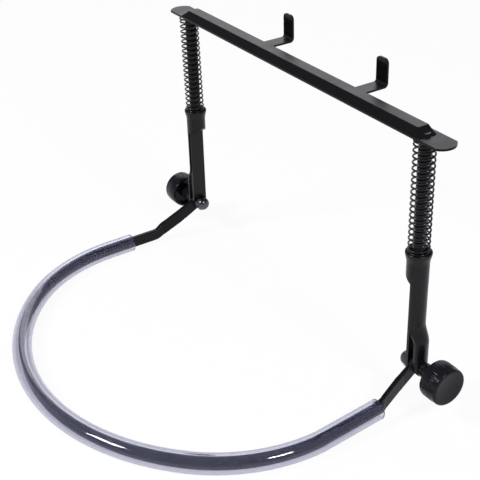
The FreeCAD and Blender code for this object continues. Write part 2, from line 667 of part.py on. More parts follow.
def upper_jaw():
    # pressed tray, open below, with two prongs bent up behind it from the same sheet
    body = doc.addObject("PartDesign::Body", "UpperJaw")
    foot = rounded_plan(body, "TrayFoot", "strip_top", "foot_half", "strip_width / 2", "tray_corner * 2")
    top = rounded_plan(body, "TrayTop", "web_top", "web_half", "web_width / 2", "tray_corner")
    feature(body, "AdditiveLoft", "Tray", Profile=foot, Sections=[top], Ruled=True)
    doc.recompute()

    # the prongs, drawn from the side and as wide as their strip
    for label, middle in (("Left", "0 - prong_left"), ("Right", "prong_right")):
        rise = sketch_on(body, "ProngSide" + label, "YZ_Plane", middle)
        closed_line(rise, [
            ("rail_offset", "web_top - sheet_thick"), ("prong_back", "web_top - sheet_thick"),
            ("prong_back", "web_top + prong_height"),
            ("prong_back - sheet_thick", "web_top + prong_height"),
            ("prong_back - sheet_thick", "web_top"), ("rail_offset", "web_top"),
        ])
        pad = feature(body, "Pad", "Prong" + label, Profile=rise, Midplane=True)
        bind(pad, "Length", "prong_width")
        doc.recompute()

    before = body.Shape.Volume
    wide = "foot_half - sheet_thick * %s" % slant_wall_share
    deep = "strip_width / 2 - sheet_thick * %s" % slant_wall_share
    low = rounded_plan(body, "HollowFoot", "strip_top", wide, deep, "tray_corner")
    wide = "web_half - sheet_thick * %s" % flat_wall_share
    deep = "web_width / 2 - sheet_thick * %s" % flat_wall_share
    high = rounded_plan(body, "HollowTop", "web_top - sheet_thick", wide, deep, "tray_corner / 2")
    feature(body, "SubtractiveLoft", "Hollow", Profile=low, Sections=[high], Ruled=True)
    doc.recompute()
    if body.Shape.Volume >= before:
        raise RuntimeError("the hollow took nothing off the tray")

    seats = sketch_on(body, "SpigotSeats", "XY_Plane", "strip_top")
    circle(seats, "half_spacing", "0", "spigot_dia / 2")
    circle(seats, "0 - half_spacing", "0", "spigot_dia / 2")
    before = body.Shape.Volume
    cut = feature(body, "Pocket", "Seats", Profile=seats, Reversed=True)
    bind(cut, "Length", "spigot_rise")
    doc.recompute()
    if body.Shape.Volume >= before:
        raise RuntimeError("the spigot seats took nothing off the tray")

    # bend radii and rounded crowns of the prongs
    round_prongs(body)
    lift(body)
    node(body, "upper_jaw")


def pick_edges(shape, test):
    names = []
    for index, edge in enumerate(shape.Edges):
        if test(edge):
            names.append("Edge%d" % (index + 1))
    return names


def round_prongs(body):
    back = size("prong_back")
    web = size("web_top")
    thick = size("sheet_thick")
    crown = web + size("prong_height")
    small = thick / 10

    def bend(level, depth):
        def test(edge):
            box = edge.BoundBox
            flat = abs(box.ZMin - level) < small and abs(box.ZMax - level) < small
            return flat and abs(box.YMin - depth) < small and abs(box.YMax - depth) < small
        return test

    outer = pick_edges(body.Shape, bend(web - thick, back))
    made = feature(body, "Fillet", "OuterBend", Base=(body.Tip, outer))
    bind(made, "Radius", "prong_bend")
    doc.recompute()
    inner = pick_edges(body.Shape, bend(web, back - thick))
    made = feature(body, "Fillet", "InnerBend", Base=(body.Tip, inner))
    bind(made, "Radius", "prong_bend - sheet_thick")
    doc.recompute()

    def corner(edge):
        box = edge.BoundBox
        upright = box.XLength < small and box.ZLength < small
        return upright and abs(box.ZMax - crown) < small and abs(box.YLength - thick) < small

    tops = pick_edges(body.Shape, corner)
    made = feature(body, "Fillet", "Crowns", Base=(body.Tip, tops))
    bind(made, "Radius", "prong_width * %s" % crown_share)
    doc.recompute()


# Pivot hardware, turned or pressed about the pivot axis, drawn with the outer side at +x

def turned(body, name, corners):
    profile = sketch_on(body, name + "Profile", "XZ_Plane")
    closed_line(profile, corners)
    made = feature(body, "Revolution", name, Profile=profile,
                   ReferenceAxis=(profile, ["H_Axis"]), Angle=360)
    doc.recompute()
    return made


def pivot_screw(side, label):
    body = doc.addObject("PartDesign::Body", "Screw" + label)
    tip = "(seat_clear - washer_thick - nut_depth)"
    end = "(knob_back + screw_depth)"
    turned(body, "Stud" + label, [
        (tip, "0"), (tip, "screw_dia / 2 - screw_chamfer"), (tip + " + screw_chamfer", "screw_dia / 2"),
        (end, "screw_dia / 2"), (end, "0"),
    ])
    lift(body, side)
    node(body, label + "_pivot_screw")


def washer(side, label):
    body = doc.addObject("PartDesign::Body", "Washer" + label)
    turned(body, "Ring" + label, [
        ("0 - washer_thick", "screw_dia / 2 + fit_clear"), ("0", "screw_dia / 2 + fit_clear"),
        ("0", "washer_od / 2"), ("0 - washer_thick", "washer_od / 2"),
    ])
    lift(body, side)
    node(body, label + "_washer")


def cap_nut(side, label):
    # hexagon with a domed closed end toward the middle of the holder
    body = doc.addObject("PartDesign::Body", "Nut" + label)
    seat = "0 - washer_thick"
    hexagon = sketch_on(body, "HexPlan" + label, "YZ_Plane", seat + " - nut_thick")
    corners = []
    for step in range(6):
        angle = 60 * step
        reach = "nut_flats / 2 / cos(30) * "
        corners.append((reach + "cos(%d)" % angle, reach + "sin(%d)" % angle))
    closed_line(hexagon, corners)
    bind(feature(body, "Pad", "Hex" + label, Profile=hexagon), "Length", "nut_thick")
    doc.recompute()
    dome = sketch_on(body, "DomeProfile" + label, "XZ_Plane")
    centre = V(value(seat + " - nut_thick - dome_neck"), 0, 0)
    radius = size("dome_radius")
    root = V(value(seat + " - nut_thick / 2"), 0, 0)
    ring = Part.Circle(centre, V(0, 0, 1), radius)
    bow = dome.addGeometry(Part.ArcOfCircle(ring, math.pi / 2, math.pi), False)
    shoulder, rim = centre + V(0, radius, 0), root + V(0, radius, 0)
    neck = dome.addGeometry(Part.LineSegment(shoulder, rim), False)
    drop = dome.addGeometry(Part.LineSegment(rim, root), False)
    axis = dome.addGeometry(Part.LineSegment(root, centre - V(radius, 0, 0)), False)
    for a, b, c, d in ((bow, 1, neck, 1), (neck, 2, drop, 1), (drop, 2, axis, 1), (axis, 2, bow, 2)):
        dome.addConstraint(Sketcher.Constraint("Coincident", a, b, c, d))
    shoulder_x = seat + " - nut_thick - dome_neck"
    pin(dome, neck, 1, shoulder_x, "dome_radius")
    pin(dome, neck, 2, seat + " - nut_thick / 2", "dome_radius")
    pin(dome, drop, 2, seat + " - nut_thick / 2", "0")
    pin(dome, axis, 2, shoulder_x + " - dome_radius", "0")
    index = dome.addConstraint(Sketcher.Constraint("Radius", bow, radius))
    bind(dome, "Constraints[%d]" % index, "dome_radius")
    doc.recompute()
    feature(body, "Revolution", "Dome" + label, Profile=dome, ReferenceAxis=(dome, ["H_Axis"]), Angle=360)
    doc.recompute()
    bore = sketch_on(body, "NutBore" + label, "YZ_Plane", seat + " - nut_depth")
    circle(bore, "0", "0", "screw_dia / 2 + fit_clear")
    before = body.Shape.Volume
    hole = feature(body, "Pocket", "Thread" + label, Profile=bore, Reversed=True)
    bind(hole, "Length", "nut_depth")
    doc.recompute()
    if body.Shape.Volume >= before:
        raise RuntimeError("the bore took nothing off the nut")
    lift(body, side)
    node(body, label + "_cap_nut")


def knob(side, label):
    # moulded thumb knob: hollow back round a tapering hub, ribbed side, dished face
    body = doc.addObject("PartDesign::Body", "Knob" + label)
    start = "(ear_crest + hub_clear)"
    core = "(knob_od / 2 - rib_height)"
    soft = soft_corner_share
    turned(body, "Moulding" + label, [
        (start, "screw_dia / 2"), (start, "hub_dia / 2 - hub_taper"),
        ("knob_back + recess_depth", "hub_dia / 2"),
        ("knob_back + recess_depth", "recess_od / 2 - hub_taper"),
        ("knob_back", "recess_od / 2"), ("knob_back", core + " - rim_radius / 2"),
        ("knob_back + rim_radius / 2", core), ("knob_face - rim_radius", core),
        ("knob_face - rim_radius * %s" % soft, core + " - rim_radius * %s" % soft),
        ("knob_face", core + " - rim_radius"),
        ("knob_face - dish_depth", "knob_od / 4"), ("knob_face - dish_depth * 1.2", "0"),
        ("knob_back + screw_depth", "0"), ("knob_back + screw_depth", "screw_dia / 2"),
    ])
    rib = sketch_on(body, "RibProfile" + label, "YZ_Plane", "knob_back + rib_margin / 2")
    closed_line(rib, [
        ("0 - rib_width / 2", core + " - rib_height"), ("rib_width / 2", core + " - rib_height"),
        ("0", "knob_od / 2"),
    ])
    pad = feature(body, "Pad", "Rib" + label, Profile=rib)
    bind(pad, "Length", "knob_face - knob_back - rib_margin * 1.5")
    doc.recompute()
    ribs = body.newObject("PartDesign::PolarPattern", "Ribs" + label)
    ribs.Originals = [pad]
    ribs.Axis = (plane(body, "X_Axis"), [""])
    ribs.Angle = 360
    bind(ribs, "Occurrences", "rib_count")
    body.Tip = ribs
    doc.recompute()
    lift(body, side)
    node(body, label + "_knob")


neck_band()
neck_sleeve()
upper_jaw()
lower_jaw()
coil = spring_shape()
for side, label in ((-1, "left"), (1, "right")):
    arm(side, label)
    rod(side, label)
    spring(side, label, coil)
    pivot_screw(side, label)
    washer(side, label)
    cap_nut(side, label)
    knob(side, label)
doc.removeObject("Probe")
doc.recompute()

for obj in doc.Objects:
    if "Invalid" in obj.State or "Error" in obj.State:
        raise RuntimeError("%s did not compute: %s" % (obj.Name, obj.State))
for obj in NODES:
    if obj.Shape.isNull() or not obj.Shape.isValid():
        raise RuntimeError("%s has no valid shape" % obj.Label)

os.makedirs("parts", exist_ok=True)
facets = 0
for obj in NODES:
    obj.Shape.exportStep("parts/%s.step" % obj.Label)
    box = obj.Shape.BoundBox
    facets += len(obj.Shape.tessellate(size("sheet_thick"))[1])
    print("%-18s solids %d volume %9.1f x %.1f..%.1f y %.1f..%.1f z %.1f..%.1f" % (
        obj.Label, len(obj.Shape.Solids), obj.Shape.Volume,
        box.XMin, box.XMax, box.YMin, box.YMax, box.ZMin, box.ZMax))
print("facets in all", facets)
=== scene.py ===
import json
import math

import bmesh
import bpy
from mathutils import Matrix, Vector


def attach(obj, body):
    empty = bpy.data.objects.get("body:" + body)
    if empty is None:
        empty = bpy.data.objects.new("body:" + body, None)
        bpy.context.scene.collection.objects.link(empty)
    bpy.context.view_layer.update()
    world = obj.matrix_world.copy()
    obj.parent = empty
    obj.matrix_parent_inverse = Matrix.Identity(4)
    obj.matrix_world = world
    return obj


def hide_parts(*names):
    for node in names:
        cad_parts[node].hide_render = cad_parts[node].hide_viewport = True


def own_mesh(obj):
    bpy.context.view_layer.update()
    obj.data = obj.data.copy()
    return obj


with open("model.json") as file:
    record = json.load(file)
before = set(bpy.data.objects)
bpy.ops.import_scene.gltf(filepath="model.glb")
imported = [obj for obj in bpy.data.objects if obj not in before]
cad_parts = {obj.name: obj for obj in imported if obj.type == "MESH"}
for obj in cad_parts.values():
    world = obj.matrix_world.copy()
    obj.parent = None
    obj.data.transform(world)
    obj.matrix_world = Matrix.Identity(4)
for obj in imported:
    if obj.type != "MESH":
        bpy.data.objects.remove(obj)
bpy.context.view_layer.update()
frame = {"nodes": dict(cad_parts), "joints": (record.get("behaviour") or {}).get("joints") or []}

# The room: a wide sheet of white paper under the holder, two soft boxes high in front and to the
# right of it, and a wide panel behind it. The camera stands where the photographer stood.
mm = 0.001
paper_half = 3.0
paper_glow_share = 0.92
lamp_white = (0.96, 0.96, 1.0)


def sheet_of_paper(half):
    bm = bmesh.new()
    bmesh.ops.create_grid(bm, x_segments=1, y_segments=1, size=half)
    mesh = bpy.data.meshes.new("paper")
    bm.to_mesh(mesh)
    bm.free()
    paper = bpy.data.objects.new("paper", mesh)
    bpy.context.scene.collection.objects.link(paper)
    return paper


def any_of(tree, sockets):
    # 1 where at least one of the sockets is 1
    total = sockets[0]
    for other in sockets[1:]:
        step = tree.nodes.new("ShaderNodeMath")
        step.operation = "MAXIMUM"
        tree.links.new(total, step.inputs[0])
        tree.links.new(other, step.inputs[1])
        total = step.outputs[0]
    return total


def paper_stock():
    material = bpy.data.materials.new("paper_stock")
    material.use_nodes = True
    tree = material.node_tree
    paint = tree.nodes["Principled BSDF"]
    paint.inputs["Base Color"].default_value = (0.9, 0.9, 0.905, 1)
    paint.inputs["Roughness"].default_value = 0.9
    paint.inputs["Specular IOR Level"].default_value = 0.1
    glow = tree.nodes.new("ShaderNodeEmission")
    glow.inputs["Color"].default_value = (1, 1, 1, 1)
    glow.inputs["Strength"].default_value = 1.0
    path = tree.nodes.new("ShaderNodeLightPath")
    seen = any_of(tree, [path.outputs["Is Camera Ray"], path.outputs["Is Glossy Ray"],
                         path.outputs["Is Transmission Ray"]])
    share = tree.nodes.new("ShaderNodeMath")
    share.operation = "MULTIPLY"
    share.inputs[1].default_value = paper_glow_share
    tree.links.new(seen, share.inputs[0])
    mix = tree.nodes.new("ShaderNodeMixShader")
    tree.links.new(share.outputs[0], mix.inputs[0])
    tree.links.new(paint.outputs[0], mix.inputs[1])
    tree.links.new(glow.outputs[0], mix.inputs[2])
    tree.links.new(mix.outputs[0], tree.nodes["Material Output"].inputs["Surface"])
    return material


def soft_box(name, direction, distance, wide, tall, radiance):
    # a rectangular lamp that faces the middle of the holder, with its sizes in metres
    lamp = bpy.data.lights.new(name, "AREA")
    lamp.shape = "RECTANGLE"
    lamp.size = wide
    lamp.size_y = tall
    lamp.color = lamp_white
    lamp.energy = radiance * math.pi * wide * tall
    lamp_object = bpy.data.objects.new(name, lamp)
    toward = Vector(direction).normalized()
    lamp_object.location = toward * distance
    lamp_object.rotation_euler = toward.to_track_quat("Z", "Y").to_euler()
    bpy.context.scene.collection.objects.link(lamp_object)


def studio_air():
    # white along the horizon and darker overhead; the camera and clear plastic see plain white
    world = bpy.data.worlds.new("studio_air")
    world.use_nodes = True
    tree = world.node_tree
    tree.nodes.clear()
    where = tree.nodes.new("ShaderNodeTexCoord")
    split = tree.nodes.new("ShaderNodeSeparateXYZ")
    ramp = tree.nodes.new("ShaderNodeValToRGB")
    ramp.color_ramp.interpolation = "EASE"
    ramp.color_ramp.elements[0].position = 0.02
    ramp.color_ramp.elements[0].color = (0.92, 0.92, 0.96, 1)
    ramp.color_ramp.elements[1].position = 0.38
    ramp.color_ramp.elements[1].color = (0.14, 0.14, 0.155, 1)
    tree.links.new(where.outputs["Generated"], split.inputs[0])
    tree.links.new(split.outputs["Z"], ramp.inputs[0])
    path = tree.nodes.new("ShaderNodeLightPath")
    seen = any_of(tree, [path.outputs["Is Camera Ray"], path.outputs["Is Transmission Ray"]])
    air = tree.nodes.new("ShaderNodeBackground")
    tree.links.new(ramp.outputs["Color"], air.inputs["Color"])
    white = tree.nodes.new("ShaderNodeBackground")
    white.inputs["Color"].default_value = (1, 1, 1, 1)
    mix = tree.nodes.new("ShaderNodeMixShader")
    tree.links.new(seen, mix.inputs[0])
    tree.links.new(air.outputs[0], mix.inputs[1])
    tree.links.new(white.outputs[0], mix.inputs[2])
    out = tree.nodes.new("ShaderNodeOutputWorld")
    tree.links.new(mix.outputs[0], out.inputs["Surface"])
    bpy.context.scene.world = world


sheet_of_paper(paper_half).data.materials.append(paper_stock())
studio_air()
soft_box("left_soft_box", (-0.19, -0.68, 0.71), distance=1.3, wide=0.32, tall=0.24, radiance=50)
soft_box("right_soft_box", (0.74, 0.06, 0.68), distance=1.3, wide=0.28, tall=0.24, radiance=42)
soft_box("back_panel", (-0.728, 0.461, 0.507), distance=1.7, wide=1.3, tall=0.7, radiance=1.8)

azimuth, elevation, roll = math.radians(57.64), math.radians(-30.47), math.radians(-1.77)
camera_place = (439.69 * mm, -235.76 * mm, 364.05 * mm)
looking = Vector((-math.sin(azimuth) * math.cos(elevation),
                  math.cos(azimuth) * math.cos(elevation), math.sin(elevation)))
rightward = looking.cross(Vector((0, 0, 1))).normalized()
upward = rightward.cross(looking)
cos_roll, sin_roll = math.cos(roll), math.sin(roll)
turned = Matrix((rightward * cos_roll + upward * sin_roll,
                 upward * cos_roll - rightward * sin_roll, -looking)).transposed()
camera = bpy.data.objects.new("camera", bpy.data.cameras.new("camera"))
camera.matrix_world = Matrix.Translation(camera_place) @ turned.to_4x4()
camera.data.sensor_width = 36
camera.data.lens = 81.56
camera.data.shift_x = -0.0123
camera.data.shift_y = -0.0071
camera.data.clip_start = 0.01
bpy.context.scene.collection.objects.link(camera)
bpy.context.scene.camera = camera
bpy.context.scene.view_settings.view_transform = "Standard"

# The neck band: one flat strip of spring steel, sheared, bent to a U on edge and kinked up to a
# pierced eye at each end. It is powder coated black, so its sheared edges are softly rounded.
joints = {joint["name"]: joint for joint in frame["joints"]}
pivot_y, pivot_z = joints["frame_tilt"]["pos_m"][1:]
half_spacing = 105.2 * mm
# measured forward from the pivot: the eye's end, and where the U's sides start to curve
eye_reach, side_reach = 4.6 * mm, 64.0 * mm
# the solid steps out to the U's side over a short run, and the real strip over a long slant
solid_bend_start, solid_bend_run, bend_out = 10.5 * mm, 13 * mm, 4.05 * mm
slant_start, slant_run = 3 * mm, 24 * mm
# the kink lies a little further forward than in the solid, and only the strip's ends are moved
solid_kink, kink_shift, end_zone = 27 * mm, 2.5 * mm, 40 * mm
kink = solid_kink + kink_shift
right_rise = 3.2 * mm


def fine_coat(name, dark, light, roughness, spread, grain, relief, specular):
    # paint or plastic: two close tones in a fine grain, with uneven gloss and a shallow relief
    material = bpy.data.materials.new(name)
    material.use_nodes = True
    tree = material.node_tree
    paint = tree.nodes["Principled BSDF"]
    paint.inputs["Specular IOR Level"].default_value = specular
    where = tree.nodes.new("ShaderNodeTexCoord")
    fine = tree.nodes.new("ShaderNodeTexNoise")
    fine.inputs["Scale"].default_value = 1 / grain
    fine.inputs["Detail"].default_value = 4
    broad = tree.nodes.new("ShaderNodeTexNoise")
    broad.inputs["Scale"].default_value = 0.06 / grain
    broad.inputs["Detail"].default_value = 2
    for noise in (fine, broad):
        tree.links.new(where.outputs["Object"], noise.inputs["Vector"])
    tone = tree.nodes.new("ShaderNodeValToRGB")
    tone.color_ramp.elements[0].position = 0.35
    tone.color_ramp.elements[0].color = dark + (1,)
    tone.color_ramp.elements[1].position = 0.65
    tone.color_ramp.elements[1].color = light + (1,)
    tree.links.new(fine.outputs["Fac"], tone.inputs[0])
    tree.links.new(tone.outputs["Color"], paint.inputs["Base Color"])
    gloss = tree.nodes.new("ShaderNodeMapRange")
    gloss.inputs["From Min"].default_value = 0.35
    gloss.inputs["From Max"].default_value = 0.65
    gloss.inputs["To Min"].default_value = roughness - spread
    gloss.inputs["To Max"].default_value = roughness + spread
    tree.links.new(broad.outputs["Fac"], gloss.inputs["Value"])
    tree.links.new(gloss.outputs[0], paint.inputs["Roughness"])
    bump = tree.nodes.new("ShaderNodeBump")
    bump.inputs["Strength"].default_value = relief
    bump.inputs["Distance"].default_value = grain * 0.1
    tree.links.new(fine.outputs["Fac"], bump.inputs["Height"])
    tree.links.new(bump.outputs["Normal"], paint.inputs["Normal"])
    return material


def finish_piece(name, bm, material, body, stands_for, crease=35):
    # hands a finished bmesh to the scene, smooth except at its creases
    mesh = bpy.data.meshes.new(name)
    bm.to_mesh(mesh)
    bm.free()
    mesh.shade_smooth()
    mesh.set_sharp_from_angle(angle=math.radians(crease))
    mesh.materials.append(material)
    made = bpy.data.objects.new(name, mesh)
    bpy.context.scene.collection.objects.link(made)
    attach(made, body)
    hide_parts(*stands_for)
    return made


def held(share):
    # a share held between 0 and 1
    return min(max(share, 0), 1)


def merged_copy(node):
    # the CAD solid's facets, merged, with the flat ones joined again
    bm = bmesh.new()
    bm.from_mesh(frame["nodes"][node].data)
    bmesh.ops.remove_doubles(bm, verts=bm.verts, dist=2e-6)
    bmesh.ops.dissolve_limit(bm, angle_limit=math.radians(0.4), verts=bm.verts, edges=bm.edges,
                             use_dissolve_boundaries=False, delimit=set())
    return bm


def round_edges(made, width, segments=3, angle=35):
    # softens what a press or shear leaves, and keeps the flats flat
    bevel = made.modifiers.new("rounded_edges", "BEVEL")
    bevel.width = width
    bevel.segments = segments
    bevel.limit_method = "ANGLE"
    bevel.angle_limit = math.radians(angle)
    flats = made.modifiers.new("flat_faces", "WEIGHTED_NORMAL")
    flats.keep_sharp = True


band_coat = fine_coat("band_coat", (0.003, 0.003, 0.005), (0.006, 0.006, 0.009), roughness=0.26,
                      spread=0.04, grain=1.6 * mm, relief=0.01, specular=0.15)
bm = merged_copy("neck_band")
for v in bm.verts:
    # from the eye the real strip runs out and down in one straight slant to its kink
    forward = pivot_y - v.co.y
    if forward < end_zone:
        was_out = held((forward - solid_bend_start) / solid_bend_run)
        now_out = held((forward - slant_start) / slant_run)
        v.co.x += math.copysign((now_out - was_out) * bend_out, v.co.x)
        v.co.y -= kink_shift * held((forward - eye_reach) / (solid_kink - eye_reach))
    if v.co.x > 0:
        # the right side of the U climbs a little before its kink, so its slant is gentler
        forward = pivot_y - v.co.y
        climb = min((forward - eye_reach) / (kink - eye_reach),
                    (side_reach - forward) / (side_reach - kink))
        v.co.z += right_rise * max(climb, 0)
band = finish_piece("band_strip", bm, band_coat, "yoke", ["neck_band"])
round_edges(band, 0.45 * mm)

# The clear hose: soft PVC tube pushed over the band's curve, cut square at both ends. On the right
# it reaches further back, climbs a little with the band and ends just past the kink.
hose_radius, hose_wall, hose_drop = 5.48 * mm, 1.45 * mm, 17.4 * mm
side_radius, side_half, front_reach = 88.0 * mm, 112.3 * mm, 162.5 * mm
hose_end_left, hose_end_right = 48.8 * mm, 27.5 * mm
round_hose, side_steps, front_steps = 40, 26, 64


def ring_verts(edges):
    return list({v for e in edges for v in e.verts})


def run_straight(bm, ring, move, steps=1):
    # draws an open ring of edges out along a line and returns the ring at its end
    for _ in range(steps):
        grown = bmesh.ops.extrude_edge_only(bm, edges=ring)["geom"]
        fresh = [g for g in grown if isinstance(g, bmesh.types.BMVert)]
        bmesh.ops.translate(bm, verts=fresh, vec=Vector(move) / steps)
        ring = [e for e in grown if isinstance(e, bmesh.types.BMEdge)
                and e.verts[0] in fresh and e.verts[1] in fresh]
    return ring


def run_round(bm, ring, centre, axis, angle, steps, rise=(0, 0, 0)):
    # draws a ring of edges round an axis, with a rise at each step, and returns the last ring
    swept = bmesh.ops.spin(bm, geom=ring_verts(ring) + ring, cent=centre, axis=axis, angle=angle,
                           steps=steps, dvec=rise, use_merge=False, use_duplicate=False)
    return [g for g in swept["geom_last"] if isinstance(g, bmesh.types.BMEdge)]


def clear_plastic():
    # clear PVC with a faint lavender cast; light for its shadow passes straight through
    material = bpy.data.materials.new("clear_pvc")
    material.use_nodes = True
    tree = material.node_tree
    glass = tree.nodes["Principled BSDF"]
    glass.inputs["Transmission Weight"].default_value = 1.0
    glass.inputs["IOR"].default_value = 1.48
    where = tree.nodes.new("ShaderNodeTexCoord")
    cloud = tree.nodes.new("ShaderNodeTexNoise")
    cloud.inputs["Scale"].default_value = 40
    cloud.inputs["Detail"].default_value = 1
    tree.links.new(where.outputs["Object"], cloud.inputs["Vector"])
    tint = tree.nodes.new("ShaderNodeValToRGB")
    tint.color_ramp.elements[0].position = 0.3
    tint.color_ramp.elements[0].color = (0.80, 0.80, 0.86, 1)
    tint.color_ramp.elements[1].position = 0.7
    tint.color_ramp.elements[1].color = (0.86, 0.86, 0.91, 1)
    tree.links.new(cloud.outputs["Fac"], tint.inputs[0])
    tree.links.new(tint.outputs["Color"], glass.inputs["Base Color"])
    haze = tree.nodes.new("ShaderNodeMapRange")
    haze.inputs["To Min"].default_value = 0.0
    haze.inputs["To Max"].default_value = 0.008
    tree.links.new(cloud.outputs["Fac"], haze.inputs["Value"])
    tree.links.new(haze.outputs[0], glass.inputs["Roughness"])
    bump = tree.nodes.new("ShaderNodeBump")
    bump.inputs["Strength"].default_value = 0.02
    bump.inputs["Distance"].default_value = 0.2 * mm
    tree.links.new(cloud.outputs["Fac"], bump.inputs["Height"])
    tree.links.new(bump.outputs["Normal"], glass.inputs["Normal"])
    through = tree.nodes.new("ShaderNodeBsdfTransparent")
    through.inputs["Color"].default_value = (0.86, 0.86, 0.90, 1)
    path = tree.nodes.new("ShaderNodeLightPath")
    # a trace of blue bloom on the plastic's faces, and a body that darkens with its depth
    bloom = tree.nodes.new("ShaderNodeBsdfDiffuse")
    bloom.inputs["Color"].default_value = (0.45, 0.48, 0.85, 1)
    veil = tree.nodes.new("ShaderNodeMixShader")
    veil.inputs[0].default_value = 0.022
    mix = tree.nodes.new("ShaderNodeMixShader")
    tree.links.new(glass.outputs[0], veil.inputs[1])
    tree.links.new(bloom.outputs[0], veil.inputs[2])
    tree.links.new(path.outputs["Is Shadow Ray"], mix.inputs[0])
    tree.links.new(veil.outputs[0], mix.inputs[1])
    tree.links.new(through.outputs[0], mix.inputs[2])
    tree.links.new(mix.outputs[0], tree.nodes["Material Output"].inputs["Surface"])
    body = tree.nodes.new("ShaderNodeVolumeAbsorption")
    body.inputs["Color"].default_value = (0.2, 0.2, 0.36, 1)
    body.inputs["Density"].default_value = 150
    tree.links.new(body.outputs[0], tree.nodes["Material Output"].inputs["Volume"])
    return material


# each side turns on its own centre, and the front on a wider radius between them
depth = front_reach - side_reach - side_radius
side_turn = math.pi / 2 - 2 * math.atan(depth / (side_half - side_radius))
front_centre = pivot_y - side_reach + (side_half - side_radius) * math.tan(side_turn)
bm = bmesh.new()
start = bmesh.ops.create_circle(bm, segments=round_hose, radius=hose_radius)["verts"]
bmesh.ops.rotate(bm, verts=start, cent=(0, 0, 0), matrix=Matrix.Rotation(math.pi / 2, 3, "X"))
bmesh.ops.translate(bm, verts=start, vec=(-side_half, pivot_y - hose_end_left,
                                          pivot_z - hose_drop))
up = Vector((0, 0, 1))
ring = run_straight(bm, list(bm.edges), (0, hose_end_left - side_reach, 0), steps=3)
ring = run_round(bm, ring, (side_radius - side_half, pivot_y - side_reach, 0), up, side_turn,
                 side_steps)
ring = run_round(bm, ring, (0, front_centre, 0), up, math.pi - 2 * side_turn, front_steps)
ring = run_round(bm, ring, (side_half - side_radius, pivot_y - side_reach, 0), up, side_turn,
                 side_steps)
last_run = side_reach - hose_end_right
run_straight(bm, ring, (0, last_run, right_rise * last_run / (side_reach - kink)), steps=8)
bmesh.ops.recalc_face_normals(bm, faces=bm.faces)
hose = finish_piece("band_hose", bm, clear_plastic(), "yoke", ["neck_sleeve"],
                    crease=180)
wall = hose.modifiers.new("hose_wall", "SOLIDIFY")
wall.thickness = hose_wall
wall.offset = -1
round_edges(hose, 0.3 * mm, angle=60)

# The arms: drawn steel tube, belled at the mouth to take the spring, then pressed in and slotted
# so that its inner wall becomes a flat leg and its outer wall joggles out to an ear. Satin black.
tube_foot, tube_radius, press_top, press_foot = 47.2 * mm, 5.8 * mm, 54.3 * mm, 50.4 * mm
# what stands above wall_top is a wall's end; it is raised along the slope, and a little at least
wall_top, wall_raise, wall_least, press_slope = 46 * mm, 3.7 * mm, 0.5 * mm, 0.672
# the joggle's foot and height, first in the solid and then as pressed, and how far out it goes
solid_start, solid_high = 19.5 * mm, 6.5 * mm
joggle_start, joggle_high, joggle_out = 17.5 * mm, 10.5 * mm, 2.9 * mm
# the outer wall lies above outer_foot and beyond outer_from; its inner face is flat
outer_foot, outer_from = 17 * mm, 2 * mm
flat_out, flat_play, flat_in = 2.4 * mm, 0.3 * mm, 0.65 * mm
less_deep, less_wide = 0.04, 0.06
# the whole joggle sits lower than in the solid, and the shift fades out below and above it
lowered, fade_foot, fade_low = 3.2 * mm, 9 * mm, 9 * mm
fade_top, fade_high = 39 * mm, 11 * mm
# a ring of edges at each millimetre lets the joggle bend softly
bend_rings = [(step + 0.3) * mm for step in range(8, 40)]
# (radius, height) in mm: up the outside, over the rolled lip and down the mouth to its floor
bell_line = [(0.0, 47.2), (5.76, 47.2), (5.78, 59.6), (5.84, 60.6), (5.98, 61.6), (6.18, 62.5),
             (6.42, 63.4), (6.63, 64.2), (6.76, 64.9), (6.8, 65.4), (6.74, 65.8), (6.56, 66.08),
             (6.32, 66.2), (6.08, 66.1), (5.9, 65.85), (5.84, 65.4), (5.72, 61.8), (5.6, 61.4),
             (3.4, 61.4), (3.4, 60.4), (0.0, 60.4)]


def turned_shape(line, steps=64):
    # a line of (radius, height) points spun about the upright axis
    bm = bmesh.new()
    dots = [bm.verts.new((radius * mm, 0, height * mm)) for radius, height in line]
    edges = [bm.edges.new(pair) for pair in zip(dots, dots[1:])]
    bmesh.ops.spin(bm, geom=dots + edges, cent=(0, 0, 0), axis=(0, 0, 1), angle=2 * math.pi,
                   steps=steps, dvec=(0, 0, 0), use_merge=True, use_duplicate=False)
    bmesh.ops.remove_doubles(bm, verts=bm.verts, dist=1e-7)
    return bm


def take_in(bm, other):
    # adds one bmesh to another
    mesh = bpy.data.meshes.new("part")
    other.to_mesh(mesh)
    other.free()
    bm.from_mesh(mesh)
    bpy.data.meshes.remove(mesh)


def cut_off(bm, place, outward):
    # removes what lies beyond a plane and closes the cut
    bmesh.ops.bisect_plane(bm, geom=bm.verts[:] + bm.edges[:] + bm.faces[:], dist=1e-7,
                           plane_co=place, plane_no=outward, clear_outer=True)
    bmesh.ops.holes_fill(bm, edges=[e for e in bm.edges if e.is_boundary], sides=0)


